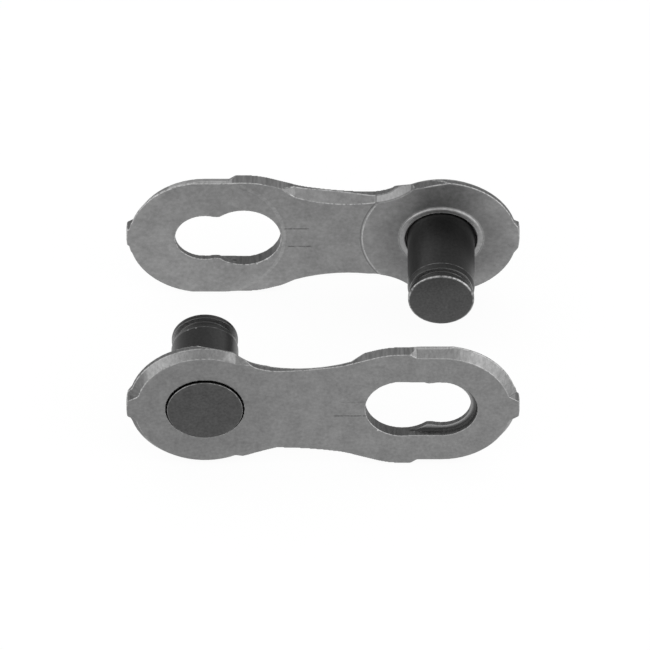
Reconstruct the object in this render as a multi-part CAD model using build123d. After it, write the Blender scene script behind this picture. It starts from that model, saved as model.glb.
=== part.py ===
"""Quick link for a half-inch pitch bicycle chain, 11-speed width, in millimetres.

The link is two equal halves. Each half is a stamped plate with one pin riveted in its round lobe
and a keyhole slot in its other lobe. To close the chain each pin enters the wide end of the other
half's slot, and a pull along the chain draws its groove into the narrow end.

The halves stand apart along their pins, as they do before the chain is joined. X runs along the
chain, Y along the pins and Z upward. The origin is the centre of the open link.
"""

from build123d import *
from math import hypot, radians, sqrt, tan
import os

# Chain standard and the plate's outline
pitch = 12.7  # between pin centres, half an inch
lobe_radius = 4.08  # round ends, about each pitch point
nose_radius = 4.22  # the unshaved tip of each round end, about the same point
nose_height = 1.3
nose_slope = 58  # of its sides, in degrees
nose_corner = 0.3
slot_lobe_height = 8.04  # between the flats above and below the slot
slot_lobe_flat = 2.85  # from the slot's pitch point to the shoulder
shoulder_angle = 18.8  # slope of the shoulder, in degrees
shoulder_run = 2.35  # length of that slope along the chain
shoulder_radius = 4.5
waist_corner = 3.86  # from the pin's centre to the narrowest place
upper_waist_height = 2.80  # from the centre line there
lower_waist_height = 2.87
waist_radius = 20.0
waist_blend_radius = 4.0
upper_flank_top = 1.85  # from the pin's centre to where the flank meets the round end
lower_flank_top = 2.1
upper_flank_hollow = 0.20  # depth of the flank's arc below a straight line
lower_flank_hollow = 0.02

# Thickness and pressed faces
plate_thickness = 0.70
waist_step = 0.06  # the waist's inner face lies this much below the lobes
boss_radius = 4.35  # foot of the raised inner face round each pitch point
pin_boss_lean = 0.10  # how far the boss's edge leans in over the waist's step
slot_boss_lean = 0.20
collar_diameter = 4.54
collar_height = 0.10
collar_lean = 0.05  # how far the collar's flank leans in over its height

# Shifting bevels round the lobes, on the outer face
upper_pin_bevel_width = 0.37
upper_pin_bevel_depth = 0.43
upper_pin_bevel_end = 2.5  # past the pin's centre, toward the waist
upper_pin_run_out = 0.85  # length in which the bevel fades to nothing there
lower_pin_bevel_width = 0.28
lower_pin_bevel_depth = 0.33
lower_pin_bevel_end = 2.1
lower_pin_run_out = 0.45
slot_bevel_width = 0.33
slot_bevel_depth = 0.60
slot_bevel_end = 1.75  # past the slot's pitch point, toward the waist
slot_run_out = 0.45
nose_run_out = 0.25  # of each bevel, next to the nose

# Hollow bevels along the waist and the flank, on the inner face
waist_bevel_radius = 8.3
waist_bevel_middle = 5.0  # from the pin's centre to the bevel's widest place
upper_waist_bevel_edge = 2.42  # from the centre line to the bevel there
lower_waist_bevel_edge = 2.65
waist_bevel_start = 3.5  # from the pin's centre to where the flank's bevel meets it
waist_bevel_end = 8.6  # from there to its end at the shoulder
waist_bevel_run_out = 0.75
flank_bevel_radius = 3.05
flank_bevel_middle = 3.79  # from the pin's centre
upper_flank_bevel_edge = 2.56
lower_flank_bevel_edge = 2.72
hollow_bevel_slope = 48  # down from the inner face, in degrees

# Chip along the inner edge of the pin's lobe, between its top and the flank
chip_start = -0.45  # from the pin's centre
chip_end = 1.6
chip_width = 0.16  # from the round end to the middle of the chip's edge
chip_depth = 0.27  # down the wall there

# Pin
shank_diameter = 3.61
tenon_diameter = 3.28  # riveted through the plate, between the head and the shank
head_diameter = 4.04
head_rise = 0.10  # head above the plate's outer face
head_edge = 0.03
pin_reach = 4.86  # from the plate's inner face to the pin's tip
flange_diameter = 3.56
flange_thickness = 0.32
flange_edge = 0.04
groove_diameter = 2.96
taper_length = 0.32  # end of the shank next to the groove
taper_depth = 0.07

# Seats and clearances
head_gap = 0.10  # between the head and its counterbore
counterbore_depth = 0.28
mouth_gap = 0.12  # between the shank and the hole's inner mouth
mouth_depth = 0.17  # below the collar's rim
ledge_thickness = 0.31  # what the groove straddles, on the slot's inner side
groove_play = 0.08  # how much wider the groove is than the ledge
slot_travel = 2.08  # from the locked seat to the entry hole
seat_gap = 0.12  # between the groove and the slot's narrow end
neck_gap = 0.04  # between the groove and the slot's neck
neck_edge = 0.25
entry_gap = 0.22  # between the flange and the slot's wide end
recess_gap = 0.18  # between the flange and the recess it slides in
open_gap = 12.6  # between the two inner faces as the halves stand apart

# Derived sizes, in the flat frame of one half: outer face at z = 0, pin along +z
pin_x = -pitch / 2
slot_x = pitch / 2
shank_radius = shank_diameter / 2
tenon_radius = tenon_diameter / 2
flange_radius = flange_diameter / 2
groove_radius = groove_diameter / 2
groove_width = ledge_thickness + groove_play
tip_z = plate_thickness + pin_reach
groove_end_z = tip_z - flange_thickness
groove_start_z = groove_end_z - groove_width
recess_depth = plate_thickness - ledge_thickness
closed_gap = groove_start_z - plate_thickness + groove_play / 2
waist_face_z = plate_thickness - waist_step
rim_z = plate_thickness + collar_height
shank_start_z = rim_z - mouth_depth
shoulder_x = slot_x - slot_lobe_flat
beyond = 1.0  # how far a cutter starts or ends outside the plate
same_place = 0.01  # corners nearer than this are one corner


def shoulder_y(x):
    """Height of the shoulder's slope at x."""
    return slot_lobe_height / 2 - (shoulder_x - x) * tan(radians(shoulder_angle))


def round_y(radius, distance):
    """Height of a circle at a distance from its centre along the chain."""
    return sqrt(radius**2 - distance**2)


def corners_at(sketch, place):
    """The sketch's corners that stand at a place."""
    return [v for v in sketch.vertices() if hypot(v.X - place[0], v.Y - place[1]) < same_place]


def waist_outline(waist_height, flank_top, flank_hollow):
    """Half of the plate between its two pitch points, from the centre line up."""
    flank = (pin_x + flank_top, round_y(lobe_radius, flank_top))
    corner = (pin_x + waist_corner, waist_height)
    top_y = slot_lobe_height / 2
    shoulder = (shoulder_x, top_y)
    foot = (shoulder_x - shoulder_run, shoulder_y(shoulder_x - shoulder_run))
    edges = Polyline((slot_x, 0), (pin_x, 0), flank).edges()
    edges += [SagittaArc(flank, corner, -flank_hollow).edge()]
    edges += [RadiusArc(corner, foot, -waist_radius).edge()]
    edges += Polyline(foot, shoulder, (slot_x, top_y), (slot_x, 0)).edges()
    half = make_face(edges)
    half = fillet(corners_at(half, shoulder), shoulder_radius)
    return fillet(corners_at(half, foot), waist_blend_radius)


def nose(x, side):
    """Tip of the lobe at x: part of a disc a little larger than the lobe, with sloping sides."""
    top = nose_height / 2
    tip = x + side * nose_radius
    foot = tip - side * beyond
    wide = top + beyond * tan(radians(nose_slope))
    corners = ((tip, top), (foot, wide), (foot, -wide), (tip, -top), (tip, top))
    block = make_face(Polyline(*corners).edges())
    block = fillet(corners_at(block, (tip, top)) + corners_at(block, (tip, -top)), nose_corner)
    return block & (Pos(x, 0) * Circle(nose_radius))


def pressed_waist():
    """Cutter that leaves the waist's inner face below the two bosses, whose edges lean in."""
    height = 2 * waist_step
    cutter = extrude(Rectangle(pitch, 2 * (lobe_radius + beyond)), height)
    for x, lean in ((pin_x, pin_boss_lean), (slot_x, slot_boss_lean)):
        top = boss_radius - lean * height / waist_step
        boss = Cone(boss_radius, top, height, align=(Align.CENTER, Align.CENTER, Align.MIN))
        cutter -= Pos(x, 0) * boss
    return Pos(0, 0, waist_face_z) * cutter


def blank():
    """The stamped blank, with the waist's inner face pressed below the lobes."""
    upper = waist_outline(upper_waist_height, upper_flank_top, upper_flank_hollow)
    lower = waist_outline(lower_waist_height, lower_flank_top, lower_flank_hollow)
    outline = upper + mirror(lower, Plane.XZ)
    outline += Pos(pin_x, 0) * Circle(lobe_radius)
    outline += Pos(slot_x, 0) * (Circle(lobe_radius) & Rectangle(2 * lobe_radius, slot_lobe_height))
    outline += nose(pin_x, -1)
    outline += nose(slot_x, 1)
    return extrude(outline, plate_thickness) - pressed_waist()


def keep_past(cutter, points, kept):
    """The part of a cutter past the plane through three points, on the side of a kept point."""
    first, second, third = [Vector(*point) for point in points]
    normal = (second - first).cross(third - first)
    side = 1 if normal.dot(Vector(*kept) - first) > 0 else -1
    return split(cutter, bisect_by=Plane(origin=first, z_dir=normal * side), keep=Keep.TOP)


def bevel_profile(x, width, depth):
    """Section of a lobe's upper outside bevel, above the lobe's centre."""
    slope = depth / width
    inner = (-width - beyond, beyond * slope)
    outer = (beyond, -depth - beyond * slope)
    section = make_face(Polyline(inner, outer, (beyond, beyond * slope), inner).edges())
    return Plane(origin=(x, 0, 0), x_dir=(0, 1, 0), z_dir=(-1, 0, 0)) * Pos(lobe_radius, 0) * section


def bevel_ring(x, side, width, depth):
    """The bevel carried round one half of a lobe, both above and below."""
    ring = revolve(bevel_profile(x, width, depth), Axis((x, 0, 0), (0, 0, 1)), 360)
    return keep_past(ring, ((x, 0, 0), (x, 1, 0), (x, 0, 1)), (x + side, 0, 0))


def tip_bevel(x, side, width, depth):
    """Cutter for the upper outside bevel round a lobe's tip, as far as the nose."""
    near_y = nose_height / 2
    far_y = near_y + nose_run_out
    edge_x = x + side * round_y(lobe_radius, near_y)
    face_x = x + side * round_y(lobe_radius - width, far_y)
    run_out = ((edge_x, near_y, 0), (face_x, far_y, 0), (edge_x, near_y, depth))
    return keep_past(bevel_ring(x, side, width, depth), run_out, (x, lobe_radius, 0))


def pin_lobe_bevel(width, depth, end, run_out_length):
    """Cutter for the upper outside bevel of the pin's lobe, which ends at the flank."""
    near = end - run_out_length
    run_out = (
        (pin_x + end, round_y(lobe_radius, end), 0),
        (pin_x + near, round_y(lobe_radius - width, near), 0),
        (pin_x + near, round_y(lobe_radius, near), depth),
    )
    waist_side = keep_past(bevel_ring(pin_x, 1, width, depth), run_out, (pin_x, lobe_radius, 0))
    return tip_bevel(pin_x, -1, width, depth) + waist_side


def slot_lobe_bevel():
    """Cutter for the upper outside bevel of the slot's lobe, which runs on along the flat."""
    width, depth = slot_bevel_width, slot_bevel_depth
    end = slot_x - slot_bevel_end
    near = end + slot_run_out
    run_out = ((end, lobe_radius, 0), (near, lobe_radius - width, 0), (near, lobe_radius, depth))
    profile = bevel_profile(slot_x, width, depth)
    waist_side = extrude(profile, slot_bevel_end + beyond, dir=(-1, 0, 0))
    waist_side = keep_past(waist_side, run_out, (slot_x, lobe_radius, 0))
    return tip_bevel(slot_x, 1, width, depth) + waist_side


def hollow_bevel(middle, edge_y, radius):
    """Cutter for an upper inside bevel: part of a cone that stands beside the plate."""
    centre = Pos(pin_x + middle, edge_y + radius)
    lean = waist_face_z / tan(radians(hollow_bevel_slope))
    cone = Cone(radius - lean, radius, waist_face_z, align=(Align.CENTER, Align.CENTER, Align.MIN))
    above = Pos(0, 0, waist_face_z) * extrude(Circle(radius), beyond)
    return centre * (cone + above)


def waist_bevel(edge_y):
    """Cutter for the upper inside bevel of the waist, with its run-out at the shoulder."""
    cutter = hollow_bevel(waist_bevel_middle, edge_y, waist_bevel_radius)
    centre_y = edge_y + waist_bevel_radius
    end = pin_x + waist_bevel_end
    near = end - waist_bevel_run_out
    inner_y = centre_y - round_y(waist_bevel_radius, near - pin_x - waist_bevel_middle)
    drop = (shoulder_y(near) - inner_y) * tan(radians(hollow_bevel_slope))
    run_out = (
        (end, shoulder_y(end), waist_face_z),
        (near, inner_y, waist_face_z),
        (near, shoulder_y(near), waist_face_z - drop),
    )
    cutter = keep_past(cutter, run_out, (pin_x, 0, 0))
    start = pin_x + waist_bevel_start
    return keep_past(cutter, ((start, 0, 0), (start, 1, 0), (start, 0, 1)), (slot_x, 0, 0))


def chip():
    """Cutter for the chip along the upper inner edge of the pin's lobe."""
    start = (pin_x + chip_start, round_y(lobe_radius, chip_start), plate_thickness)
    end = (pin_x + chip_end, round_y(lobe_radius - chip_width, chip_end), plate_thickness)
    middle = (chip_start + chip_end) / 2
    deep = (pin_x + middle, round_y(lobe_radius, middle), plate_thickness - chip_depth)
    block = Pos(pin_x + middle, lobe_radius, plate_thickness) * Box(chip_end - chip_start, beyond, beyond)
    return keep_past(block, (start, end, deep), (pin_x + middle, lobe_radius + beyond, plate_thickness))


def keyhole():
    """Cutter for the slot: an entry hole, a neck and a locking seat, with the flange's recess."""
    entry_x = slot_x - slot_travel
    middle = Pos(slot_x - slot_travel / 2, 0)
    seat = Pos(slot_x, 0) * Circle(groove_radius + seat_gap)
    neck = middle * Rectangle(slot_travel, 2 * (groove_radius + neck_gap))
    entry = Pos(entry_x, 0) * Circle(flange_radius + entry_gap)
    hole = seat + neck + entry
    hole = fillet(hole.vertices(), neck_edge)
    recess = middle * SlotCenterToCenter(slot_travel, 2 * (flange_radius + recess_gap))
    return extrude(hole, plate_thickness) + extrude(recess, recess_depth)


def pin_hole():
    """Cutter for the pin's hole: a counterbore outside, a tight bore and an open mouth inside."""
    bore = extrude(Circle(tenon_radius), rim_z)
    seat = extrude(Circle(head_diameter / 2 + head_gap), counterbore_depth)
    mouth = Pos(0, 0, shank_start_z) * extrude(Circle(shank_radius + mouth_gap), mouth_depth)
    return Pos(pin_x, 0) * (bore + seat + mouth)


def collar():
    """Raised ring round the hole's inner mouth, with a leaning flank."""
    foot = collar_diameter / 2
    ring = Cone(foot, foot - collar_lean, collar_height, align=(Align.CENTER, Align.CENTER, Align.MIN))
    return Pos(pin_x, 0, plate_thickness) * ring


def flank_bevel(edge_y):
    """Cutter for the upper inside bevel of the flank."""
    return hollow_bevel(flank_bevel_middle, edge_y, flank_bevel_radius)


def upper_cutters():
    """Everything cut from the plate's upper edge."""
    width, depth = upper_pin_bevel_width, upper_pin_bevel_depth
    return (
        pin_lobe_bevel(width, depth, upper_pin_bevel_end, upper_pin_run_out),
        slot_lobe_bevel(),
        waist_bevel(upper_waist_bevel_edge),
        flank_bevel(upper_flank_bevel_edge),
        chip(),
    )


def lower_cutters():
    """Everything cut from the plate's lower edge, drawn as if it were the upper one."""
    width, depth = lower_pin_bevel_width, lower_pin_bevel_depth
    return (
        pin_lobe_bevel(width, depth, lower_pin_bevel_end, lower_pin_run_out),
        slot_lobe_bevel(),
        waist_bevel(lower_waist_bevel_edge),
        flank_bevel(lower_flank_bevel_edge),
    )


def plate():
    """One plate with its bevels, keyhole slot and pin hole, its upper edge along -y."""
    body = blank() + collar()
    for cutter in upper_cutters():
        body -= cutter
    for cutter in lower_cutters():
        body -= mirror(cutter, Plane.XZ)
    return mirror(body - keyhole() - pin_hole(), Plane.XZ)


def pin():
    """One turned pin: head, tenon, shank, taper, groove and end flange."""
    head = head_diameter / 2
    profile = Polyline(
        (0, -head_rise),
        (head - head_edge, -head_rise),
        (head, head_edge - head_rise),
        (head, counterbore_depth),
        (tenon_radius, counterbore_depth),
        (tenon_radius, shank_start_z),
        (shank_radius, shank_start_z),
        (shank_radius, groove_start_z - taper_length),
        (shank_radius - taper_depth, groove_start_z),
        (groove_radius, groove_start_z),
        (groove_radius, groove_end_z),
        (flange_radius, groove_end_z),
        (flange_radius, tip_z - flange_edge),
        (flange_radius - flange_edge, tip_z),
        (0, tip_z),
        (0, -head_rise),
    )
    return Pos(pin_x, 0) * revolve(Plane.XZ * make_face(profile.edges()), Axis.Z)


def stand(piece, front):
    """Stand a flat piece up in the front half, or turn it about Z into the back half."""
    placed = Pos(0, -open_gap / 2 - plate_thickness, 0) * Rot(-90, 0, 0) * piece
    return placed if front else Rot(0, 0, 180) * placed


os.makedirs("parts", exist_ok=True)
for piece_name, piece in (("plate", plate()), ("pin", pin())):
    for half_name, front in (("front", True), ("back", False)):
        export_step(stand(piece, front), f"parts/{half_name}_{piece_name}.step")

print(f"closed gap between inner faces {closed_gap:.3f}")
print(f"closing travel {open_gap - closed_gap:.3f} along the pins, {slot_travel:.3f} along the chain")
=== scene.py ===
# %% [markdown]
# # A chain's quick link in stamped and blackened steel
# The link is two equal halves. Each half is a stamped side plate and a turned pin that is riveted
# into it. The packed model already holds both halves at their true size and place, so this lesson
# gives them what a plain solid lacks: softened edges, the satin skin of stamped steel, dark sheared
# walls, bright worn corners and the black finish of a hardened pin.

# %% Load the packed link
import math

import bmesh
import bpy
from mathutils import Matrix, Vector
from mathutils.kdtree import KDTree


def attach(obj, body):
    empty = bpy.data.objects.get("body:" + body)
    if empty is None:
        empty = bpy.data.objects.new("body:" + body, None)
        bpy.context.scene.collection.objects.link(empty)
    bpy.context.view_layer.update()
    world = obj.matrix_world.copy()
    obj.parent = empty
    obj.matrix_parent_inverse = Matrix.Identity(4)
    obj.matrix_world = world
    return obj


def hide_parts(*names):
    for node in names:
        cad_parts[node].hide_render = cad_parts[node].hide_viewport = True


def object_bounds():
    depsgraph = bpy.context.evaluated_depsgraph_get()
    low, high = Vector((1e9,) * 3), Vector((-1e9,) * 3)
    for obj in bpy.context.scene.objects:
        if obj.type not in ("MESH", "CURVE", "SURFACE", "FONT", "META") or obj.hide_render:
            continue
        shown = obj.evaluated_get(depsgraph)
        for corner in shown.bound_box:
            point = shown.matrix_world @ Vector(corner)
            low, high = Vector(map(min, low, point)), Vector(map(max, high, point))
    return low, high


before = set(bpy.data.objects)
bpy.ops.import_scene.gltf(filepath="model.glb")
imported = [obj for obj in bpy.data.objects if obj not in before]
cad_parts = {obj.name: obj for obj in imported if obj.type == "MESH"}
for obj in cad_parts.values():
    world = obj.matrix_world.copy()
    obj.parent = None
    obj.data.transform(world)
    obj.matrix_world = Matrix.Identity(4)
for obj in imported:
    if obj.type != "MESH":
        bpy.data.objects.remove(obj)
cad_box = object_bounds()

# %% [markdown]
# Blender works in metres and the link is 21 mm long, so sizes below are written in millimetres
# and multiplied by `MM` where Blender needs them. The sizes of the plate and the pin are those of
# the solids.

# %% Sizes in millimetres
MM = 0.001
low, high = [corner / MM for corner in cad_box]
PIN_X = -6.35
PLATE_OUTSIDE = 7.0
SLOT_FROM_PIN = 12.7
print("link from", [round(value, 2) for value in low], "to", [round(value, 2) for value in high])

# %% [markdown]
# ## The camera
# A perspective view would draw the back half smaller than the front one. A parallel view keeps both
# at one scale, as a long lens does from far off, and it suits a part that people measure by eye. An
# orthographic camera gives that view, and its `ortho_scale` is the width of the picture in metres.

# %% Set the camera
VIEW_ELEVATION = math.radians(43.8)
PICTURE_WIDTH = 650
PIXELS_PER_MM = 18.6
LINK_CENTRE_PIXEL = (323, 319)
CAMERA_DISTANCE = 200

toward_camera = Vector((0, -math.cos(VIEW_ELEVATION), math.sin(VIEW_ELEVATION)))
picture_up = Vector((0, math.sin(VIEW_ELEVATION), math.cos(VIEW_ELEVATION)))
shift_right = (PICTURE_WIDTH / 2 - LINK_CENTRE_PIXEL[0]) / PIXELS_PER_MM
shift_down = (PICTURE_WIDTH / 2 - LINK_CENTRE_PIXEL[1]) / PIXELS_PER_MM
aim = Vector((shift_right, 0, 0)) - picture_up * shift_down

camera_data = bpy.data.cameras.new("link_camera")
camera_data.type = "ORTHO"
camera_data.ortho_scale = PICTURE_WIDTH / PIXELS_PER_MM * MM
camera_data.clip_start = 1 * MM
camera_data.clip_end = 10 * CAMERA_DISTANCE * MM
camera = bpy.data.objects.new("link_camera", camera_data)
camera.location = (aim + toward_camera * CAMERA_DISTANCE) * MM
camera.rotation_mode = "QUATERNION"
camera.rotation_quaternion = (-toward_camera).to_track_quat("-Z", "Y")
bpy.context.scene.collection.objects.link(camera)
bpy.context.scene.camera = camera
print("camera aims at", [round(value, 3) for value in aim], "mm")

# %% [markdown]
# ## An even skin for the plates
# A stamping has no perfectly sharp edge: the press rolls one side over, the shear leaves the other
# ragged and tumbling rounds both by a few hundredths of a millimetre. The solid could get a Bevel
# modifier, but its bevels meet at slivers that such a modifier tears. A voxel remesh is steadier.
# It lays an even grid of small squares over the solid, and a little smoothing then softens every
# edge by the same amount. Most squares on the flat faces say nothing, so Decimate takes them out
# again.

# %% Lay an even skin over a solid
GRID = 0.04
SMOOTHING = 0.5
SMOOTHING_ROUNDS = 2
KEPT_SHARE = 0.42


def even_skin(node):
    """The skin of a solid as a mesh of small even faces with softened edges, in millimetres."""
    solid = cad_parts[node].data.copy()
    solid.transform(Matrix.Scale(1 / MM, 4))
    holder = bpy.data.objects.new("even_skin", solid)
    bpy.context.scene.collection.objects.link(holder)
    remesh = holder.modifiers.new("even grid", "REMESH")
    remesh.mode = "VOXEL"
    remesh.voxel_size = GRID
    soften = holder.modifiers.new("softened edges", "SMOOTH")
    soften.factor = SMOOTHING
    soften.iterations = SMOOTHING_ROUNDS
    thin = holder.modifiers.new("fewer faces", "DECIMATE")
    thin.ratio = KEPT_SHARE
    ready = holder.evaluated_get(bpy.context.evaluated_depsgraph_get())
    skin = bpy.data.meshes.new_from_object(ready)
    bpy.data.objects.remove(holder)
    return skin


plate_skin = even_skin("front_plate")
print("plate skin:", len(plate_skin.vertices), "points,", len(plate_skin.polygons), "faces")

# %% [markdown]
# ## Where edges wear and catch light, and corners are shaded
# Handling rubs the outward edges bright, and they also get a painted highlight, while the inward
# corners get painted shade. A shader can't tell how near an edge is, so each point of the skin
# stores it: the distance to the nearest outward edge of the solid, and to the nearest inward one. A
# search tree over points along those edges finds both quickly.

# %% Measure the distance from each point to the solid's edges
EDGE_ANGLE = math.radians(20)
EDGE_STEP = 0.02
EDGE_REACH = 0.12
SAME_POINT = 0.001


def edge_tree(node, sign):
    """A search tree of points along the solid's outward edges (1) or inward edges (-1)."""
    build = bmesh.new()
    build.from_mesh(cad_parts[node].data)
    bmesh.ops.remove_doubles(build, verts=build.verts, dist=SAME_POINT * MM)
    places = []
    for edge in build.edges:
        if edge.is_manifold and edge.calc_face_angle_signed() * sign > EDGE_ANGLE:
            start, end = [vertex.co / MM for vertex in edge.verts]
            steps = math.ceil((end - start).length / EDGE_STEP)
            places += [start.lerp(end, step / steps) for step in range(steps)]
    build.free()
    tree = KDTree(len(places))
    for index, place in enumerate(places):
        tree.insert(place, index)
    tree.balance()
    return tree, len(places)


def store_nearness(mesh, name, tree):
    """Store 1 on the edge itself, falling to 0 at EDGE_REACH from it."""
    nearness = [max(0.0, 1 - tree.find(vertex.co)[2] / EDGE_REACH) for vertex in mesh.vertices]
    mesh.attributes.new(name, "FLOAT", "POINT").data.foreach_set("value", nearness)
    return sum(1 for value in nearness if value > 0)


for name, sign in (("worn_lit_edge", 1), ("inner_corner", -1)):
    tree, count = edge_tree("front_plate", sign)
    near = store_nearness(plate_skin, name, tree)
    print(name, "edge points:", count, "skin points near them:", near)

# %% [markdown]
# The two halves are one part made twice, and the back half is the front half turned by half a turn
# about Z. So the skin is made once and a turned copy serves the back. A weighted normal keeps the
# big faces flat in the shading right up to their softened edges.

# %% Stand a skin in each half
LARGEST_FACE_WINS = 100


def finished_piece(name, mesh, half):
    """An object made from the front half's mesh in millimetres, turned for the back half."""
    shape = mesh.copy()
    shape.transform(Matrix.Scale(MM, 4))
    if half == "back":
        shape.transform(Matrix.Rotation(math.pi, 4, "Z"))
    shape.materials.clear()
    for face in shape.polygons:
        face.use_smooth = True
    piece = bpy.data.objects.new(f"{half}_{name}", shape)
    bpy.context.scene.collection.objects.link(piece)
    normals = piece.modifiers.new("flat faces stay flat", "WEIGHTED_NORMAL")
    normals.weight = LARGEST_FACE_WINS
    return piece


plates = {half: finished_piece("plate_finished", plate_skin, half) for half in ("front", "back")}
print("plates:", [plate.name for plate in plates.values()])

# %% [markdown]
# ## The turned pins
# A pin comes off a lathe, so its mesh is made as a lathe makes it: a profile of radius and depth is
# spun about the axis. A remeshed skin would do too, but a spun one keeps the rims truly round with
# few faces. Each corner of the profile is softened by a small arc and stores how bright its rubbed
# edge and painted highlight are: most at the tip's rim, which rubs on every plate it enters, and
# not at all at the groove's bottom.

# %% Round the corners of the pin's profile
PIN_CORNERS = (
    # radius, depth from the plate's outer face, rounding, wear and painted highlight
    (0.00, -0.100, 0.00, 0.0),
    (2.04, -0.100, 0.05, 0.5),
    (2.06, 0.280, 0.02, 0.0),
    (1.64, 0.280, 0.02, 0.0),
    (1.64, 0.630, 0.02, 0.0),
    (1.86, 0.630, 0.02, 0.0),
    (1.86, 0.760, 0.08, 0.0),
    (1.805, 0.950, 0.08, 0.0),
    (1.805, 4.530, 0.03, 0.4),
    (1.735, 4.850, 0.04, 0.05),
    (1.480, 4.850, 0.05, 0.0),
    (1.480, 5.240, 0.05, 0.0),
    (1.780, 5.240, 0.03, 0.2),
    (1.780, 5.560, 0.11, 1.0),
    (0.00, 5.560, 0.00, 0.0),
)
ARC_STEPS = 3


def soft_profile(corners):
    """The profile with each corner replaced by an arc, as rows of radius, depth and wear."""
    rows = []
    for index, (radius, depth, rounding, wear_and_sheen) in enumerate(corners):
        here = Vector((radius, depth))
        if rounding == 0:
            rows.append((radius, depth, wear_and_sheen))
            continue
        before = here + (Vector(corners[index - 1][:2]) - here).normalized() * rounding
        after = here + (Vector(corners[index + 1][:2]) - here).normalized() * rounding
        for step in range(ARC_STEPS + 1):
            share = step / ARC_STEPS
            place = before.lerp(here, share).lerp(here.lerp(after, share), share)
            worn_and_lit = wear_and_sheen if 0 < step < ARC_STEPS else 0.0
            rows.append((place.x, place.y, worn_and_lit))
    return rows


pin_profile = soft_profile(PIN_CORNERS)
print("pin profile:", len(PIN_CORNERS), "corners became", len(pin_profile), "points")

# %% [markdown]
# Blender's Screw modifier could spin the profile, but it can't set one part of the pin lower. So
# each point of the profile becomes a ring of points here, which also carry the wear and painted
# highlight, and neighbouring rings are joined by squares, or by triangles where a ring is one point
# on the axis.
# Riveting leaves the head a hair below the middle of its counterbore, so `HEAD_DROP` lowers it and
# the dark gap round it is wider above than below.

# %% Spin the profile into a pin
PIN_SIDES = 144
HEAD_DROP = 0.02
HEAD_DEPTH = 0.3


def spun_ring(build, wear_and_sheen, radius, depth, worn_and_lit):
    """One ring of the pin's points, or a single point where the radius is 0."""
    drop = HEAD_DROP if depth < HEAD_DEPTH else 0.0
    ring = []
    for side in range(PIN_SIDES if radius > 0 else 1):
        angle = 2 * math.pi * side / PIN_SIDES
        x, z = radius * math.cos(angle), radius * math.sin(angle) - drop
        vertex = build.verts.new((PIN_X + x, depth - PLATE_OUTSIDE, z))
        vertex[wear_and_sheen] = worn_and_lit
        ring.append(vertex)
    return ring


def spun_pin(profile):
    """The pin's mesh in millimetres, in the front half's place."""
    build = bmesh.new()
    wear_and_sheen = build.verts.layers.float.new("worn_lit_edge")
    rings = [spun_ring(build, wear_and_sheen, *row) for row in profile]
    for first, second in zip(rings, rings[1:]):
        for side in range(PIN_SIDES):
            square = ((first, side), (first, side + 1), (second, side + 1), (second, side))
            corners = []
            for ring, place in square:
                vertex = ring[place % len(ring)]
                if vertex not in corners:
                    corners.append(vertex)
            build.faces.new(corners)
    bmesh.ops.recalc_face_normals(build, faces=build.faces)
    mesh = bpy.data.meshes.new("pin_skin")
    build.to_mesh(mesh)
    build.free()
    return mesh


pin_skin = spun_pin(pin_profile)
pins = {half: finished_piece("pin_finished", pin_skin, half) for half in ("front", "back")}
print("pin skin:", len(pin_skin.vertices), "points,", len(pin_skin.polygons), "faces")

# %% [markdown]
# ## Shader maths written as Python
# A material is a net of small nodes, and a net of Math nodes is hard to read. So one small class
# wraps a socket, as a reading taken off the surface, and gives it Python's operators:
# `1 - mask * 0.3` then adds the two Math nodes by itself. It could have a method for every
# operation, but the few below say what a finish needs: a step, a band, a distance, a blend.

# %% Wrap a socket so that Python's operators add Math nodes
class Reading:
    """A socket that carries a number over the surface."""

    def __init__(self, finish, socket):
        self.finish = finish
        self.socket = socket

    def math(self, operation, *values):
        return self.finish.node("ShaderNodeMath", {"operation": operation}, dict(enumerate(values)))

    def __add__(self, other):
        return self.math("ADD", self, other)

    def __sub__(self, other):
        return self.math("SUBTRACT", self, other)

    def __rsub__(self, other):
        return self.math("SUBTRACT", other, self)

    def __mul__(self, other):
        return self.math("MULTIPLY", self, other)

    def __neg__(self):
        return self.math("SUBTRACT", 0.0, self)

    def __abs__(self):
        return self.math("ABSOLUTE", self)

    __radd__ = __add__
    __rmul__ = __mul__

    def at_least(self, floor):
        """This number, or the floor where the number is lower."""
        return self.math("MAXIMUM", self, floor)

    def step(self, start, end):
        """0 where the number is at start or before it, 1 at end or past it, smooth between."""
        settings = {"interpolation_type": "SMOOTHSTEP"}
        values = {"Value": self, "From Min": start, "From Max": end}
        return self.finish.node("ShaderNodeMapRange", settings, values)

    def band(self, start, end, soft):
        """1 between start and end, 0 outside, with soft borders."""
        return self.step(start - soft, start) * (1 - self.step(end, end + soft))

    def toward(self, other, mask):
        """This number where the mask is 0, the other where it is 1."""
        return self + (other - self) * mask

    def away(self, other):
        """The length of the two numbers taken as the sides of a right angle."""
        return self.math("SQRT", self * self + other * other)

    def swing(self, contrast):
        """A speckle turned into a factor: 1 on average, and the contrast says how far it goes."""
        return 1 + (self - 0.5) * contrast

    def spot(self, size):
        """1 where this distance is under half the size, 0 where it is over the size."""
        return 1 - self.step(size / 2, size)


print("a reading can be asked for:", [name for name in vars(Reading) if not name.startswith("_")])

# %% [markdown]
# A second class holds the material and makes every node with one method. The method takes the
# node's type, its settings and what goes into its sockets, which may be plain values or readings.
# So each node is one line, and the net grows in the order in which it is thought out. A trial
# material shows it, and is thrown away again.

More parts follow.
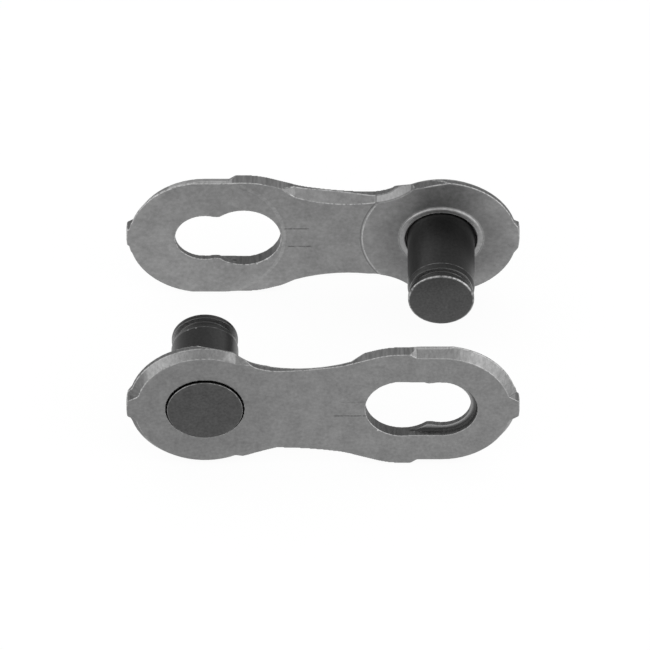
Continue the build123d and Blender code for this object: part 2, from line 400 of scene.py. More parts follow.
# %% Make every node with one method
class Finish:
    """A material, and the one method that adds nodes to it."""

    def __init__(self, name):
        self.material = bpy.data.materials.new(name)
        self.material.use_nodes = True
        self.tree = self.material.node_tree
        self.tree.nodes.clear()

    def node(self, kind, settings=None, values=None, output=0):
        """Add a node with its settings and the values or readings of its sockets."""
        node = self.tree.nodes.new(kind)
        for key, value in (settings or {}).items():
            setattr(node, key, value)
        for key, value in (values or {}).items():
            if isinstance(value, Reading):
                self.tree.links.new(value.socket, node.inputs[key])
            else:
                node.inputs[key].default_value = value
        if output is None:
            return None
        if isinstance(output, tuple):
            return [Reading(self, node.outputs[key]) for key in output]
        return Reading(self, node.outputs[output])

    def end_in(self, shader):
        """Link a shader to the material's surface."""
        self.node("ShaderNodeOutputMaterial", values={"Surface": shader}, output=None)
        return self.material


trial = Finish("trial")
mask = 1 - trial.node("ShaderNodeTexNoise") * 0.3
print("1 - noise * 0.3 took", len(trial.tree.nodes), "nodes and ends in", mask.socket.node.name)
bpy.data.materials.remove(trial.material)

# %% [markdown]
# ## Where a point lies on its half
# The finishes below depend on the place on the plate: how far from the pin, how high, how deep
# under the outer face and which way the surface faces. Object coordinates and the surface's normal
# give that, and `turn` is 1 on the front half and -1 on the back half, which is the same part
# turned round.

# %% Read a point's place and direction
def place_on_half(finish, turn):
    """The distance along the chain from the pin, the height and the depth, in millimetres."""
    place = finish.node("ShaderNodeTexCoord", output="Object")
    x, y, z = finish.node("ShaderNodeSeparateXYZ", values={0: place}, output=("X", "Y", "Z"))
    return x * (turn / MM) - PIN_X, z * (1 / MM), y * (turn / MM) + PLATE_OUTSIDE


def facing(finish, turn):
    """How far the surface faces along the chain, up, and toward the half's inner side."""
    normal = finish.node("ShaderNodeNewGeometry", output="Normal")
    x, y, z = finish.node("ShaderNodeSeparateXYZ", values={0: normal}, output=("X", "Y", "Z"))
    return x * turn, z, y * turn


plate_ends = [vertex.co.x - PIN_X for vertex in plate_skin.vertices]
print("from the pin, the plate runs from", round(min(plate_ends), 2), "to",
      round(max(plate_ends), 2), "mm along the chain")

# %% [markdown]
# ## What both steels share
# Steel needs three things from its finish: a shade that varies in speckles, a little relief, and a
# reading of what the mesh stored about wear. Noise in object coordinates gives the speckles at one
# true scale on every face, with no unwrapping. The metal itself is one Principled shader with
# `Metallic` set to 1, so that the shade is also the colour of what it mirrors.

# %% Speckles, stored numbers and bare metal
RELIEF = 0.004
SPECKLE_DETAIL = 3.0
SPECKLE_ROUGHNESS = 0.6
MIX_COLOURS_IN = (6, 7)
MIX_COLOUR_OUT = 2


def speckle(finish, cells, detail=SPECKLE_DETAIL):
    """A soft noise from 0 to 1; cells are counts to the millimetre along X, Y and Z."""
    place = finish.node("ShaderNodeTexCoord", output="Object")
    scale = [count / MM for count in cells]
    stretched = finish.node("ShaderNodeVectorMath", {"operation": "MULTIPLY"}, {0: place, 1: scale})
    values = {"Vector": stretched, "Scale": 1.0, "Detail": detail, "Roughness": SPECKLE_ROUGHNESS}
    return finish.node("ShaderNodeTexNoise", values=values)


def stored(finish, name):
    """A number that the mesh stores at its points."""
    return finish.node("ShaderNodeAttribute", {"attribute_name": name}, output="Fac")


def grey(finish, shade):
    """A neutral colour as light as the shade says."""
    black_and_white = dict(zip(MIX_COLOURS_IN, ((0, 0, 0, 1), (1, 1, 1, 1))))
    values = {0: shade, **black_and_white}
    return finish.node("ShaderNodeMix", {"data_type": "RGBA"}, values, output=MIX_COLOUR_OUT)


def steel_surface(finish, shade, roughness, bumps):
    """End a finish in bare metal, with its bumps RELIEF millimetres high."""
    relief = {"Strength": 1.0, "Distance": RELIEF * MM, "Height": bumps}
    metal = {
        "Base Color": grey(finish, shade),
        "Metallic": 1.0,
        "Roughness": roughness,
        "Normal": finish.node("ShaderNodeBump", values=relief),
    }
    return finish.end_in(finish.node("ShaderNodeBsdfPrincipled", values=metal))


print("relief:", RELIEF, "mm high at most")

# %% [markdown]
# ## The plates' steel, layer by layer
# The flat faces are satin steel with a fine mottle, the sheared walls are dark and streaked, the
# struck bevels are lighter, edges shine and corners are dirty. All this could be painted on a
# texture, but that needs unwrapping and has one fixed sharpness. Here each layer is a function: it
# takes the shade so far and gives it back with its own mark on it. A layer finds its place by
# measures on the half, and the zones that several layers share are gathered first. Two numbers
# give a step from nothing to all; three give the start and end of a band and how softly it fades.
# A reach lies along the chain, counted from the pin, and every size is in millimetres.

# %% Gather the zones that the layers share
FINE_CELLS = (5, 5, 5)  # speckles to the millimetre along X, Y and Z
RAGGED_CELLS = (6, 6, 6)
STREAK_CELLS = (7, 0.8, 7)
FLAT_FACING = (0.8, 0.95)  # how squarely a flat face looks outward or inward
TILTED_FACING = (0.3, 0.84, 0.08)  # the same for a bevel or a hollow
TOP_FACING = (0.3, 0.6)  # how far a surface looks up where it counts as top
SLOT_REACH = (8.5, 15.0, 0.05)
SLOT_HEIGHT = (2.15, 2.2)
NARROW_END = (10.9, 11.1)  # where the slot's wide entry gives way to its narrow end
FLAT_TOP_REACH = (11.3, 14.6, 0.1)  # the flat over the slot's end
FLANKS = ((1.7, 3.5, 0.1), (8.2, 9.3, 0.2))
BEVEL_RUN_OUT = (-3.4, -2.95)  # where the pin lobe's bevel fades into the nose
BEVEL_FOOT = (0.5, 0.6)  # the depth at which the outer bevels end on the wall
COLLAR_RADIUS = (1.8, 2.29, 0.06)
COLLAR_DEPTH = (0.6, 0.66)
CHIP_HEIGHT = (3, 3.2)  # the chip lies above this, on the pin lobe's inner edge


class PlateZones:
    """Where each point of a plate lies, and which zones it belongs to, as numbers from 0 to 1."""

    def __init__(self, finish, turn):
        self.finish = finish
        self.from_pin, self.height, self.depth = place_on_half(finish, turn)
        self.along, self.up, self.inward = facing(finish, turn)
        self.pin_radius = self.from_pin.away(self.height)
        self.slot_radius = (self.from_pin - SLOT_FROM_PIN).away(self.height)
        self.edge = stored(finish, "worn_lit_edge")
        self.corner = stored(finish, "inner_corner")
        self.fine = speckle(finish, FINE_CELLS)
        self.streaks = speckle(finish, STREAK_CELLS, detail=2.0)
        self.ragged = speckle(finish, RAGGED_CELLS, detail=2.0)

        self.inner = self.inward.step(*FLAT_FACING)
        self.outer = (-self.inward).step(*FLAT_FACING)
        self.hollow = self.inward.band(*TILTED_FACING)
        self.slot = (1 - abs(self.height).step(*SLOT_HEIGHT)) * self.from_pin.band(*SLOT_REACH)
        self.narrow_end = self.slot * self.from_pin.step(*NARROW_END)
        self.top = self.up.step(*TOP_FACING) * (1 - self.slot)
        self.flat_top = self.from_pin.band(*FLAT_TOP_REACH) * self.top
        self.flank = self.from_pin.band(*FLANKS[0]) + self.from_pin.band(*FLANKS[1])
        self.run_out = 1 - self.from_pin.step(*BEVEL_RUN_OUT)
        self.outside = 1 - self.depth.step(*BEVEL_FOOT)
        self.collar = self.depth.step(*COLLAR_DEPTH) * self.pin_radius.band(*COLLAR_RADIUS)
        self.over_chip = self.height.step(*CHIP_HEIGHT)


print("along the chain: slot", SLOT_REACH[:2], "flat top", FLAT_TOP_REACH[:2])

# %% [markdown]
# ### The flat faces
# Tumbling in grit leaves a flat face evenly satin, with a fine mottle in faint broad clouds. Round
# the pin the inner face gets painted shade, where the dark pin darkens it; it is strongest below
# the pin and gone above it. Round the pin's head the outer face gets a little painted shade too.
# The inner face is painted a little lighter and the outer face a little darker, and the inner face
# lighter still toward the slot's end, which is painted light. Two speckles of different size are
# enough for the mottle, and rings round the pin with very soft borders for the rest.

# %% Shade the flat faces
FACE_SHADE = 0.25
FACE_MOTTLE = 0.7
CLOUD_CELLS, FACE_CLOUDS = (1, 1, 1), 0.5
# Painted shade round the pin and its head, and painted light and shade on the two faces.
PIN_SHADE_RADIUS, PIN_SHADE_HEIGHT, PIN_SHADE_DARKER = (2.4, 4.2), (1.0, 2.5), 0.25
PIN_HEAD_SHADE_RADIUS, PIN_HEAD_SHADE_DARKER = (3, 5), 0.07
INNER_PAINTED_LIGHTER, OUTER_PAINTED_DARKER = 0.06, 0.06
SLOT_END, SLOT_END_PAINTED_LIGHTER = (7, 10), 0.06


def flat_faces(zones):
    """Satin steel with a mottle, with painted shade round the pin and painted light on the faces.
    """
    cloud = speckle(zones.finish, CLOUD_CELLS, detail=2.0)
    mottle = zones.fine.swing(FACE_MOTTLE) + (cloud - 0.5) * FACE_CLOUDS
    pin_shade = zones.inner * (1 - zones.pin_radius.step(*PIN_SHADE_RADIUS))
    pin_shade = pin_shade * (1 - zones.height.step(*PIN_SHADE_HEIGHT))
    pin_head_shade = zones.outer * (1 - zones.pin_radius.step(*PIN_HEAD_SHADE_RADIUS))
    inner_painted_light = INNER_PAINTED_LIGHTER + zones.from_pin.step(*SLOT_END) * SLOT_END_PAINTED_LIGHTER
    painted_light = zones.inner * inner_painted_light - zones.outer * OUTER_PAINTED_DARKER
    return FACE_SHADE * mottle * (1 + painted_light - pin_shade * PIN_SHADE_DARKER - pin_head_shade * PIN_HEAD_SHADE_DARKER)


# The second number is the shade under the painted shade round the pin.
print("flat faces: shade", FACE_SHADE, "and", round(FACE_SHADE * (1 - PIN_SHADE_DARKER), 3), "where oily")

# %% [markdown]
# ### The struck bevels
# A punch strikes the shifting bevels on the outer face, so their steel is smeared through the
# thickness and shows fine streaks. The crown of a lobe gets painted shade, the part of a bevel that
# turns a little along the chain a painted highlight, and the run-out before the nose painted shade.
# The streaks are the same speckles as before, but drawn out along the thickness. The two halves
# differ here: the back one's bevels get a much darker shade, which is painted shade, and over the
# slot's end painted light.

# %% Shade the struck bevels
# Painted shade on the crowns and the run-out, and a painted highlight on the bright side.
CROWN, CROWN_DARKER = (0.02, 0.45), 0.2
SLOT_LOBE, CROWN_LESS_ON_SLOT_LOBE = (6, 7), 0.7
BRIGHT_SIDE, BRIGHT_LIGHTER = (0.25, 0.46, 0.08), 0.2
RUN_OUT_DARKER = 0.42
BEVEL_STREAKS = 0.8


def struck_bevels(zones, shade, bevel_shade, flat_top_painted_light):
    """Streaked bevels on the outer face, with painted shade on the crowns and the run-out and a
    painted highlight on one side.
    """
    bevel = (-zones.inward).band(*TILTED_FACING) * (1 - zones.slot)
    crown = 1 - abs(zones.along).step(*CROWN)
    crown = crown * (1 - zones.from_pin.step(*SLOT_LOBE) * CROWN_LESS_ON_SLOT_LOBE)
    bright_side = zones.along.band(*BRIGHT_SIDE)
    painted_light = bright_side * BRIGHT_LIGHTER - crown * CROWN_DARKER - zones.run_out * RUN_OUT_DARKER
    struck = bevel_shade * (1 + painted_light) * zones.streaks.swing(BEVEL_STREAKS)
    return shade.toward(struck * (1 + zones.flat_top * flat_top_painted_light), bevel)


print("bevels: crown", CROWN_DARKER, "darker, run-out", RUN_OUT_DARKER, "darker")

# %% [markdown]
# ### The hollows and the chip
# The inner face has shallow hollows along the waist and on both flanks, where the tool pressed the
# edge down for the neighbouring link. The flank's hollow is painted light, like a lens: partly the
# steel that the tool pressed fresh, partly a painted highlight of a face tilted toward the light.
# Its sides are painted darker, which is painted shade, and so is the waist's hollow, a little
# darker than the face. On top of the pin's lobe a small chip of the edge is broken off; it is
# painted dark, partly for its rough steel and partly as painted shade. All three face halfway
# inward, so one zone finds them and the place along the chain tells them apart.

# %% Shade the hollows and the chip
# The lens is partly a painted highlight; its darker sides, the darker waist hollow and part of the
# chip's dark are painted shade.
LENS_SHADE = 0.34
LENS_SIDES, LENS_SIDES_DARKER = (0.12, 0.6), 0.45
LENS_STREAKS = 0.6
HOLLOW_DARKER = 0.12
CHIP_SHADE = 0.11
CHIP_STREAKS = 1.0
CHIP_REACH = (-0.6, 1.6, 0.05)


def hollows_and_chip(zones, shade):
    """The pressed hollows of the inner face, and the broken edge over the pin."""
    sides = abs(zones.along).step(*LENS_SIDES)
    lens = LENS_SHADE * (1 - sides * LENS_SIDES_DARKER) * zones.streaks.swing(LENS_STREAKS)
    shade = shade * (1 - zones.hollow * HOLLOW_DARKER)
    shade = shade.toward(lens, zones.hollow * zones.flank)
    chip = zones.hollow * zones.from_pin.band(*CHIP_REACH) * zones.over_chip
    return shade.toward(CHIP_SHADE * zones.streaks.swing(CHIP_STREAKS), chip)


print("lens shade", LENS_SHADE, "and chip shade", CHIP_SHADE)

# %% [markdown]
# ### The sheared walls
# The die shears the plate's outline, and a sheared wall is rough and drinks in light. Its dark
# streaked shade is partly that rough steel and partly painted shade, and inside the slot it is
# darker still, which is painted shade. The walls over the slot's end and over the shoulder and
# those of the slot's narrow end are painted lighter, which is painted light. The nose ends in a
# small slope that the same stroke made as the bevels, and it is painted light with the bevel's
# shade.

# %% Shade the sheared walls
# The walls' dark shade is partly rough steel and partly painted shade; the slot's darker shade is
# painted shade and every lighter part is painted light.
WALL_FACING = (0.2, 0.4)
WALL_SHADE = 0.13
SLOT_WALL_SHADE = 0.095
WALL_STREAKS = 1.2
NARROW_END_LIGHTER = 0.015
FLAT_TOP_LIGHTER = 1.5
SHOULDER_REACH, SHOULDER_LIGHTER = (8.4, 11.2, 0.3), 0.3
NOSE_SLOPE_REACH, NOSE_SLOPE_HEIGHT = (15.8, 16.68, 0.03), (0.5, 0.7)


def sheared_walls(zones, shade, bevel_shade):
    """Dark streaked walls round the outline and the slot, partly painted shade, and the slope at
    the nose in painted light.
    """
    wall = 1 - abs(zones.inward).step(*WALL_FACING)
    shoulder = zones.from_pin.band(*SHOULDER_REACH) * zones.top
    sheared = WALL_SHADE + (SLOT_WALL_SHADE - WALL_SHADE) * zones.slot
    sheared = sheared + zones.narrow_end * NARROW_END_LIGHTER
    sheared = sheared * zones.streaks.swing(WALL_STREAKS)
    painted_light = zones.flat_top * FLAT_TOP_LIGHTER + shoulder * SHOULDER_LIGHTER
    shade = shade.toward(sheared * (1 + painted_light), wall)
    nose_slope = zones.from_pin.band(*NOSE_SLOPE_REACH) * zones.outside
    nose_slope = nose_slope * zones.height.step(*NOSE_SLOPE_HEIGHT)
    return shade.toward(bevel_shade, nose_slope * wall)


print("wall shade", WALL_SHADE, "and", SLOT_WALL_SHADE, "in the slot")

# %% [markdown]
# ### The slot's recess
# Behind the slot's narrow end the outer side is sunk to a ledge, where the pin's flange sits when
# the link is locked. The ledge is painted light, and it darkens toward the foot of the recess's
# wall, which gets painted shade. The recess is an oval that is straight toward the entry, so the
# distance is taken from the seat's centre beyond it, and from the middle line before it.

# %% Shade the slot's recess
# The ledge's light shade is painted light, and the foot's dark shade painted shade.
LEDGE_SHADE = 0.30
LEDGE_DEPTH = (0.3, 0.35)
RECESS_FOOT_SHADE = 0.10
RECESS_FOOT_RADIUS = (1.64, 1.9)
RECESS_FOOT_DEPTH = (0.3, 0.45, 0.05)


def slot_recess(zones, shade):
    """The ledge for the pin's flange in painted light, with painted shade at its foot."""
    beyond_seat = (zones.from_pin - SLOT_FROM_PIN).at_least(0.0)
    foot = beyond_seat.away(zones.height).step(*RECESS_FOOT_RADIUS)
    ledge = LEDGE_SHADE + (RECESS_FOOT_SHADE - LEDGE_SHADE) * foot
    shade = shade.toward(ledge, zones.outer * zones.depth.step(*LEDGE_DEPTH))
    shaded_foot = zones.narrow_end * foot * zones.depth.band(*RECESS_FOOT_DEPTH)
    return shade.toward(RECESS_FOOT_SHADE, shaded_foot)


print("ledge shade", LEDGE_SHADE, "and", RECESS_FOOT_SHADE, "at its foot")

# %% [markdown]
# ### The collar and the lobes' rings
# Riveting raises a thin collar round the pin's hole, and the two pressed lobes of the inner face
# end in round steps. All of them stand proud and catch the light, so they get an uneven painted
# highlight. Each is a ring of a known radius, so a band of that radius draws it. The collar's
# mouth, which turns toward the pin, is painted lightest above, as painted light against the pin's
# shade, and the collar's outer rim a little darker, as painted shade.

# %% Shade the collar and the rings
# The rings' light shade is a painted highlight; the mouth's lift is painted light and the rim's
# dimming painted shade.
RING_SHADE = 0.36
RING_MOTTLE = 1.0
COLLAR_STRENGTH = 0.9
COLLAR_MOUTH, COLLAR_MOUTH_HEIGHT, COLLAR_MOUTH_LIGHTER = (1.98, 2.06), (0, 1.5), 0.8
COLLAR_RIM, COLLAR_RIM_DARKER = (2.18, 2.4, 0.06), 0.12
SLOT_LOBE_STEP, SLOT_LOBE_LEAST, SLOT_LOBE_RAGGED = (4.19, 4.34, 0.05), 0.3, 0.4
PIN_LOBE_STEP, PIN_LOBE_RAGGED = (4.21, 4.26, 0.03), 0.6


def collar_and_rings(zones, shade):
    """The collar round the pin and the steps of the two pressed lobes, in painted highlight."""
    slot_lobe = zones.slot_radius.band(*SLOT_LOBE_STEP)
    slot_lobe = slot_lobe * (SLOT_LOBE_LEAST + zones.ragged * SLOT_LOBE_RAGGED)
    pin_lobe = zones.pin_radius.band(*PIN_LOBE_STEP) * zones.ragged * PIN_LOBE_RAGGED
    steps = zones.inner * (slot_lobe + pin_lobe)
    mouth = (1 - zones.pin_radius.step(*COLLAR_MOUTH)) * zones.height.step(*COLLAR_MOUTH_HEIGHT)
    rim = zones.pin_radius.band(*COLLAR_RIM)
    painted_light = mouth * COLLAR_MOUTH_LIGHTER - rim * COLLAR_RIM_DARKER
    ring = RING_SHADE * zones.fine.swing(RING_MOTTLE) * (1 + painted_light)
    return shade.toward(ring, zones.collar * COLLAR_STRENGTH + steps)


print("ring radii in mm:", COLLAR_RADIUS[:2], SLOT_LOBE_STEP[:2], PIN_LOBE_STEP[:2])

# %% [markdown]
# ### The creases
# Where the slot's lobe meets the waist, the press folds a fine crease into both faces, above and
# below. A crease this thin would cost the mesh many faces, so it is a groove in the relief and a
# dark line of painted shade in the finish. It is a line of one height, from one place along the
# chain to another.

# %% Draw the creases
# The crease's dark line is painted shade.
CREASE_SHADE = 0.10
CREASE_HALF_WIDTH = (0.01, 0.06)
CREASE_GAPS = (0.3, 0.55)
CREASE_END = 0.15
CREASE_RELIEF = 4
CREASES = (
    # side (1 inner, -1 outer), height, start and end along the chain from the pin, strength
    (1, 0.62, 7.18, 8.34, 0.8),
    (1, -0.68, 7.04, 8.19, 0.8),
    (-1, 0.51, 7.40, 8.69, 0.4),
    (-1, -0.51, 7.03, 8.75, 0.9),
)


def fine_creases(zones):
    """1 on the creases, 0 elsewhere."""
    lines = []
    for side, level, start, end, strength in CREASES:
        face = zones.inner if side == 1 else zones.outer
        line = 1 - abs(zones.height - level).step(*CREASE_HALF_WIDTH)
        lines.append(line * zones.from_pin.band(start, end, CREASE_END) * face * strength)
    return sum(lines) * zones.ragged.step(*CREASE_GAPS)


print("creases:", len(CREASES), "with a half width of up to", CREASE_HALF_WIDTH[1], "mm")

# %% [markdown]
# ### Worn and lit edges
# Edges are worn bright by handling, and those that look up get a painted highlight as well, so only
# they are drawn. The outer face's edges are drawn dimmer, less so at the waist and at the run-out,
# and so are those halfway into the slot. The collar has its own painted highlight and gets no edge
# line, the chip's broken edge gets little of it, and the edge of the upper flank hollows gets a
# dark line of painted shade. A worn edge could be found in the shader with a Bevel node, but the
# number that the skin stores is cheaper and also reaches an exported model.

# %% Wear the edges and paint their highlight
# EDGE_SHADE is wear and a painted highlight; the flank hollows' dark edge line is painted shade.
EDGE_SHADE = 0.52
WORN_LIT_NEARNESS = (0.55, 0.85)  # 1 is on the edge itself
HIGHLIGHT_FACING, WORN_LIT_GAPS = (-0.4, 0.1), (0.3, 0.6)
OUTSIDE_DIMMER, LESS_DIM_AT_WAIST, LESS_DIM_AT_RUN_OUT = 0.6, 0.35, 0.4
WAIST_REACH = (2.8, 10.6, 0.3)
DIMMER_IN_SLOT, SLOT_MIDDLE_DEPTH = 0.4, (0.15, 0.6, 0.05)
COLLAR_WITHOUT_EDGE_LINE = 0.85
CHIP_EDGE_REACH, CHIP_EDGE_DIMMER = (1.1, 1.9, 0.1), 0.7
FLANK_EDGE_SHADE, FLANK_EDGE_SHADE_HEIGHT = 0.7, (0, 1)
CORNER_SHADE = 0.09


def worn_and_lit_edges(zones, shade):
    """Worn edges, with a painted highlight where they look up, and painted shade along the flank
    hollows.
    """
    near_edge = zones.edge.step(*WORN_LIT_NEARNESS)
    waist = zones.from_pin.band(*WAIST_REACH)
    dimmer = OUTSIDE_DIMMER - waist * LESS_DIM_AT_WAIST
    dimmer = dimmer - zones.run_out * LESS_DIM_AT_RUN_OUT
    in_slot = zones.slot * zones.depth.band(*SLOT_MIDDLE_DEPTH) * DIMMER_IN_SLOT
    edge_strength = (1 - zones.outside * dimmer - in_slot) * (1 - zones.collar * COLLAR_WITHOUT_EDGE_LINE)
    chip_edge = zones.from_pin.band(*CHIP_EDGE_REACH) * zones.over_chip
    edge_strength = edge_strength * (1 - chip_edge * CHIP_EDGE_DIMMER)
    edge_wear_and_sheen = near_edge * zones.up.step(*HIGHLIGHT_FACING) * edge_strength * zones.ragged.step(*WORN_LIT_GAPS)
    shade = shade.toward(EDGE_SHADE, edge_wear_and_sheen)
    flank_shade_line = near_edge * zones.hollow * zones.flank * zones.height.step(*FLANK_EDGE_SHADE_HEIGHT)
    return shade.toward(CORNER_SHADE, flank_shade_line * FLANK_EDGE_SHADE)


# The second number is the painted shade along the flank hollows' edges.
print("edge shade", EDGE_SHADE, "and", CORNER_SHADE, "where the edge holds dirt")

# %% [markdown]
# ### Burrs
# The shear leaves burrs, which are tiny tongues of steel on the slot's rim that catch the light. As
# mesh they would be slivers that catch on everything, so their glints are painted as light spots in
# the finish. A ragged line of small ones comes from speckles along the inner rim, and the largest
# have places of their own.

# %% Raise the burrs
# The burrs' light spots are painted glints.
BURR_LINE_SHADE, BURR_LINE_STRENGTH = 0.416, 0.8
BURR_LINE_NEARNESS, BURR_LINE_GAPS = (0.3, 0.6), (0.5, 0.6)
BURR_SIZE = 0.075
BURRS = (
    # along the chain from the pin, height, depth
    (9.30, -1.58, 0.02),
    (10.84, -1.90, 0.02),
    (11.25, -1.90, 0.30),
    (11.61, -1.90, 0.30),
    (12.78, -1.52, 0.49),
    (9.89, -1.93, 0.68),
    (9.35, -1.59, 0.68),
)


def burrs(zones, shade):
    """Painted glints: a ragged bright line on the slot's inner rim, and the largest burrs one by
    one.
    """
    inner_rim = zones.edge.step(*BURR_LINE_NEARNESS) * zones.slot * zones.inner
    ragged_line = inner_rim * zones.ragged.step(*BURR_LINE_GAPS) * BURR_LINE_STRENGTH
    shade = shade.toward(BURR_LINE_SHADE, ragged_line)
    for burr_x, burr_z, burr_depth in BURRS:
        across = (zones.from_pin - burr_x).away(zones.height - burr_z)
        distance = across.away(zones.depth - burr_depth)
        shade = shade.toward(EDGE_SHADE, distance.spot(BURR_SIZE))
    return shade


print("large burrs:", len(BURRS), "of", BURR_SIZE, "mm")

# %% [markdown]
# ### Shade in the corners
# Every inward corner gets painted shade, darkest in the fillet of the slot's narrow end. The step
# of the slot's lobe is an inward corner too, but it is left out, so that its painted highlight
# stays.

# %% Darken the corners
# Painted shade in the inward corners.
CORNER_NEARNESS, CORNER_STRENGTH = (0.6, 0.9), 0.6
SEAT_CORNER_SHADE = 0.04
SEAT_CORNER_NEARNESS, SEAT_CORNER_STRENGTH = (0.3, 0.7), 0.85
UNSHADED_STEP = (4.0, 4.5, 0.05)


def shaded_corners(zones, shade):
    """Painted shade in the inward corners, darkest round the slot's narrow end."""
    unshaded_lobe_step = zones.slot_radius.band(*UNSHADED_STEP) * zones.inner
    corner = zones.corner.step(*CORNER_NEARNESS) * (1 - unshaded_lobe_step)
    shade = shade.toward(CORNER_SHADE, corner * CORNER_STRENGTH)
    seat_corner = zones.corner.step(*SEAT_CORNER_NEARNESS) * zones.narrow_end
    return shade.toward(SEAT_CORNER_SHADE, seat_corner * SEAT_CORNER_STRENGTH)


print("corner shade", CORNER_SHADE, "and", SEAT_CORNER_SHADE, "at the seat")

# %% [markdown]
# ### All layers together
# The order matters, because each layer covers those before it: bare shapes first, worn edges and
# painted highlights on top and the corners' painted shade last. Each half needs its own material,
# since the back half is turned and its object coordinates run the other way.

# %% Make the plates' steel
PLATE_ROUGHNESS = 0.48
PLATE_ROUGHNESS_SPREAD = 0.08


def plate_steel(name, turn, bevel_shade, flat_top_painted_light):
    """Stamped, tumbled steel; turn is 1 for the front half and -1 for the back half."""
    finish = Finish(name)
    zones = PlateZones(finish, turn)
    shade = struck_bevels(zones, flat_faces(zones), bevel_shade, flat_top_painted_light)
    shade = hollows_and_chip(zones, shade)
    shade = sheared_walls(zones, shade, bevel_shade)
    shade = collar_and_rings(zones, slot_recess(zones, shade))
    creases = fine_creases(zones)
    shade = shade.toward(CREASE_SHADE, creases)
    shade = burrs(zones, worn_and_lit_edges(zones, shade))
    shade = shaded_corners(zones, shade)
    roughness = PLATE_ROUGHNESS + zones.fine * PLATE_ROUGHNESS_SPREAD
    return steel_surface(finish, shade, roughness, zones.fine - creases * CREASE_RELIEF)


steel = {
    # The back half's darker bevel shade is painted shade, and its lift over the slot's end is
    # painted light.
    "front": plate_steel("plate_steel_front", 1, bevel_shade=0.25, flat_top_painted_light=0.0),
    "back": plate_steel("plate_steel_back", -1, bevel_shade=0.09, flat_top_painted_light=1.44),
}
for half, material in steel.items():
    print(half, "plate:", material.name, "with", len(material.node_tree.nodes), "nodes")

# %% [markdown]
# ## The pins' steel
# The pins are hardened and blackened, so they are much darker than the plates and a little glossy.
# The rims of the tip and the head are rubbed bright where they enter the plates, and they also get
# a painted highlight. The groove, and its sides most, are painted lighter than the shank, which is
# painted light against the groove's shade. The shank's sides are painted lighter, the side toward
# the waist most, which is painted light. On one pin a few grains of metal stand out on the shank,
# and their glints are painted as bright spots.

# %% Make the pins' steel
PIN_FINE_CELLS, PIN_CLOUD_CELLS, PIN_RAGGED_CELLS = (7, 7, 7), (1.5, 1.5, 1.5), (4, 4, 4)
DISC_SHADE, DISC_MOTTLE, DISC_CLOUDS = 0.078, 0.9, 0.4
SHANK_SHADE, SHANK_MOTTLE = 0.033, 0.8
# The shank's lighter sides are painted light.
SHANK_SIDES_LIGHTER = 0.4
SHANK_WAIST_SIDE_LIGHTER = 0.65
DISC_FACING = (0.3, 0.7)
# The groove's lighter shades are painted light, the rims' shade is wear and a painted highlight,
# and the grains are painted glints.
GROOVE_SHADE, GROOVE = 0.07, (4.83, 5.26, 0.01)
GROOVE_SIDE_SHADE, GROOVE_SIDES = 0.35, (4.847, 5.243, 0.004)
RIM_SHADE, RIM_LEAST, RIM_GAPS = 0.40, 0.2, (0.38, 0.6)
GRAIN_SIZE, GRAIN_STRENGTH, GRAIN_FACING = 0.05, 0.6, (0.5, 0.6)
GRAINS = ((-0.91, 4.52), (-0.48, 4.49))  # distance along the chain from the axis, depth
PIN_ROUGHNESS = 0.32
PIN_ROUGHNESS_SPREAD = 0.1


def pin_steel(name, turn, grains=()):
    """Hardened and blackened steel with bright rims, painted light and painted glints."""
    finish = Finish(name)
    from_pin, _, depth = place_on_half(finish, turn)
    along, up, inward = facing(finish, turn)
    fine = speckle(finish, PIN_FINE_CELLS)
    cloud = speckle(finish, PIN_CLOUD_CELLS)
    disc = DISC_SHADE * (fine.swing(DISC_MOTTLE) + (cloud - 0.5) * DISC_CLOUDS)
    lit_sides = 1 + abs(along) * SHANK_SIDES_LIGHTER + along * SHANK_WAIST_SIDE_LIGHTER
    shank = SHANK_SHADE * fine.swing(SHANK_MOTTLE) * lit_sides
    shade = shank.toward(disc, abs(inward).step(*DISC_FACING))
    groove_sides = depth.band(*GROOVE_SIDES) * abs(inward).step(*FLAT_FACING)
    shade = shade.toward(GROOVE_SHADE, depth.band(*GROOVE))
    shade = shade.toward(GROOVE_SIDE_SHADE, groove_sides)
    ragged = speckle(finish, PIN_RAGGED_CELLS).step(*RIM_GAPS)
    rim = stored(finish, "worn_lit_edge").step(0.0, 1.0)
    shade = shade.toward(RIM_SHADE, rim * (RIM_LEAST + ragged * (1 - RIM_LEAST)))
    for grain_x, grain_depth in grains:
        distance = (from_pin - grain_x).away(depth - grain_depth)
        grain = distance.spot(GRAIN_SIZE) * up.step(*GRAIN_FACING) * GRAIN_STRENGTH
        shade = shade.toward(RIM_SHADE, grain)
    return steel_surface(finish, shade, PIN_ROUGHNESS + fine * PIN_ROUGHNESS_SPREAD, fine)


black = {
    "front": pin_steel("pin_steel_front", 1, grains=GRAINS),
    "back": pin_steel("pin_steel_back", -1),
}
for half, material in black.items():
    print(half, "pin:", material.name, "with", len(material.node_tree.nodes), "nodes")

# %% [markdown] ## Handing the pieces to the frame A finished piece has to move with its half when
# the link closes, and the plain solid under it must not show through. Bodies, solids and finishes
# are named by one pattern, so one loop does it for all four pieces.

# %% Hand the pieces to the frame
for half in ("front", "back"):
    for pieces, finishes, kind in ((plates, steel, "plate"), (pins, black, "pin")):
        piece = pieces[half]
        piece.data.materials.append(finishes[half])
        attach(piece, f"{half}_half")
        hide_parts(f"{half}_{kind}")
print("pieces placed:", [piece.name for group in (plates, pins) for piece in group.values()])

# %% [markdown]
# ## The floor
# The link stands on a plain pale floor that ends in white. Enough light to burn the floor out would
# burn the steel too, so the floor's material does it: it is matt, which keeps the link's soft
# shadow, and where the camera or the mirroring steel looks at it, it is mixed with a white that
# needs no light. A Light Path node tells those looks from the light that only bounces.

# %% Lay the pale floor
FLOOR_SIZE = 4000
FLOOR_SHADE = 0.95
WHITE_SHARE = 0.93


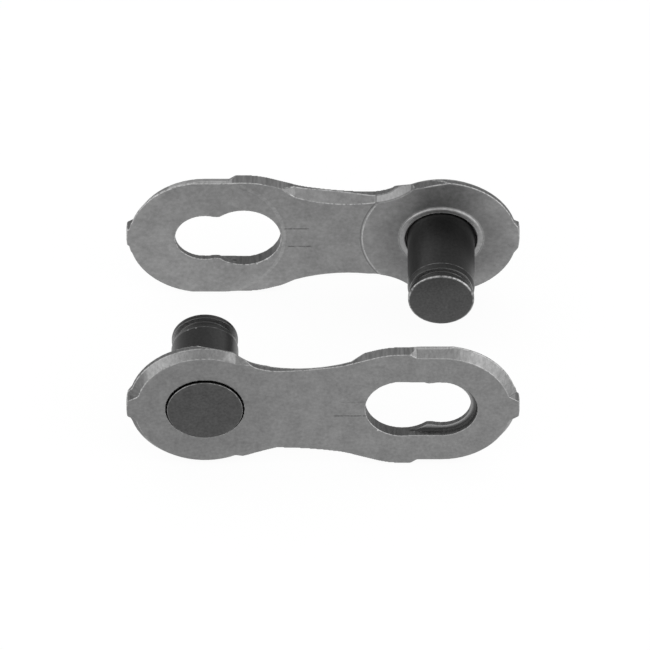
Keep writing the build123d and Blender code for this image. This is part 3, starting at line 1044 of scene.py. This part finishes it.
def floor_surface(finish):
    """A diffuse surface that shows mostly as plain white to the camera and in mirrors."""
    looks = ("Is Camera Ray", "Is Glossy Ray", "Is Transmission Ray")
    camera_ray, glossy, through = finish.node("ShaderNodeLightPath", output=looks)
    seen = (camera_ray + glossy + through) * WHITE_SHARE
    pale = (FLOOR_SHADE, FLOOR_SHADE, FLOOR_SHADE, 1)
    matt = finish.node("ShaderNodeBsdfDiffuse", values={"Color": pale})
    white = finish.node("ShaderNodeEmission", values={"Strength": 1.0})
    return finish.node("ShaderNodeMixShader", values={0: seen, 1: matt, 2: white})


floor_finish = Finish("pale_floor")
reach = FLOOR_SIZE / 2 * MM
floor_corners = [
    (x * reach, y * reach, low.z * MM) for x, y in ((-1, -1), (1, -1), (1, 1), (-1, 1))
]
floor_mesh = bpy.data.meshes.new("floor")
floor_mesh.from_pydata(floor_corners, [], [(0, 1, 2, 3)])
floor_mesh.materials.append(floor_finish.end_in(floor_surface(floor_finish)))
floor = bpy.data.objects.new("floor", floor_mesh)
bpy.context.scene.collection.objects.link(floor)
print("floor at height", round(low.z, 3), "mm")

# %% [markdown]
# ## The world and the lamps
# Satin steel shows mostly what it mirrors, and a small bright part looks best in an even white
# tent. A white world is that tent. Alone it would leave the round flanks of the pins flat, so a
# large square lamp stands low on each side, a little to the front. Both are as soft as windows, and
# the right one is slightly stronger, so that the two sides of a pin differ. A smaller, harder lamp
# would draw sharp lights on the bevels, which worn steel doesn't have.

# %% Light the link
WORLD_STRENGTH = 1.0
LAMP_SIZE = 220
LAMPS = (
    # name, place, power in watts
    ("left_softbox", (-200, -80, 60), 0.20),
    ("right_softbox", (200, -80, 60), 0.24),
)

world = bpy.data.worlds.new("studio")
bpy.context.scene.world = world
world.use_nodes = True
background = world.node_tree.nodes["Background"]
background.inputs["Color"].default_value = (1, 1, 1, 1)
background.inputs["Strength"].default_value = WORLD_STRENGTH
bpy.context.scene.view_settings.view_transform = "Standard"


def lamp(name, place, power):
    """A square soft lamp that faces the link."""
    data = bpy.data.lights.new(name, "AREA")
    data.size = LAMP_SIZE * MM
    data.energy = power
    light = bpy.data.objects.new(name, data)
    light.location = Vector(place) * MM
    light.rotation_mode = "QUATERNION"
    light.rotation_quaternion = (-Vector(place)).to_track_quat("-Z", "Y")
    bpy.context.scene.collection.objects.link(light)
    return light


for name, place, power in LAMPS:
    print(lamp(name, place, power).name, "at", place, "mm with", power, "W")

# %% [markdown]
# ## The link's size
# The finish must not change the link's size, and smoothing always takes a little off.
